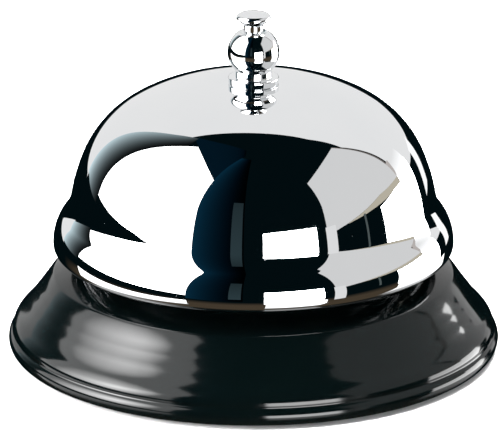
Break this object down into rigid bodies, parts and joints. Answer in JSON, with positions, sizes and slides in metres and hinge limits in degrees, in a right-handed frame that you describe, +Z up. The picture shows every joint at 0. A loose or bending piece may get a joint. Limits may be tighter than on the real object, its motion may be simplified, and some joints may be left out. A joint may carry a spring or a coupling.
{
  "type": "service bell",
  "caption": "Desk call bell: a chromed dome gong on a flared black base, with a push button on top that swings a striker up inside the gong.",
  "frame": {"origin": "middle of the plane that the rubber feet stand on", "axes": "+Z up along the bell's axis; +X from the axis towards the striker; -Y is the side it is looked at from"},
  "size_m": [0.085, 0.085, 0.0603],
  "materials": {
    "black_enamel": "gloss",
    "black_plate": "satin",
    "black_rubber": "matte",
    "zinc_screw": "zinc plated",
    "yellow_zinc": "zinc plated, passivated",
    "turned_steel": "turned",
    "spring_steel": "oiled",
    "red_fibre": "vulcanised fibre",
    "gong_chrome": "mirror",
    "finial_chrome": "mirror",
    "button_chrome": "mirror",
    "striker_nickel": "nickel plated"
  },
  "bodies": {
    "base": {"base_shell": "black_enamel", "bottom_plate": "black_plate", "rubber_feet": "black_rubber", "tie_screw": "zinc_screw", "tie_spacer": "turned_steel", "tie_washer": "spring_steel", "tie_nut": "zinc_screw", "bridge_frame": "yellow_zinc", "bridge_rivets": "turned_steel", "pillar": "turned_steel", "pillar_washer": "spring_steel", "pillar_nut": "zinc_screw", "seat_washer": "red_fibre", "gong": "gong_chrome", "finial_nut": "finial_chrome", "return_spring": "spring_steel", "pivot_pin": "turned_steel", "pivot_clip": "spring_steel", "rest_bumper": "black_rubber"},
    "plunger": {"plunger": "button_chrome", "plunger_clip": "spring_steel"},
    "striker": {"striker_lever": "yellow_zinc", "striker_head": "striker_nickel"}
  },
  "joints": [
    {"name": "plunger_press", "type": "slide", "parent": "base", "child": "plunger", "axis": [0, 0, -1], "range_m": [0, 0.0018], "stiffness_N_per_m": 150, "springref_m": -0.004, "deforming": ["return_spring"]},
    {"name": "striker_swing", "type": "hinge", "parent": "base", "child": "striker", "pos_m": [0.00423, 0, 0.027], "axis": [0, -1, 0], "range_deg": [0, 24]}
  ],
  "couplings": [
    {"joint": "striker_swing", "follows": "plunger_press", "rad_per_m": 232.71}
  ]
}
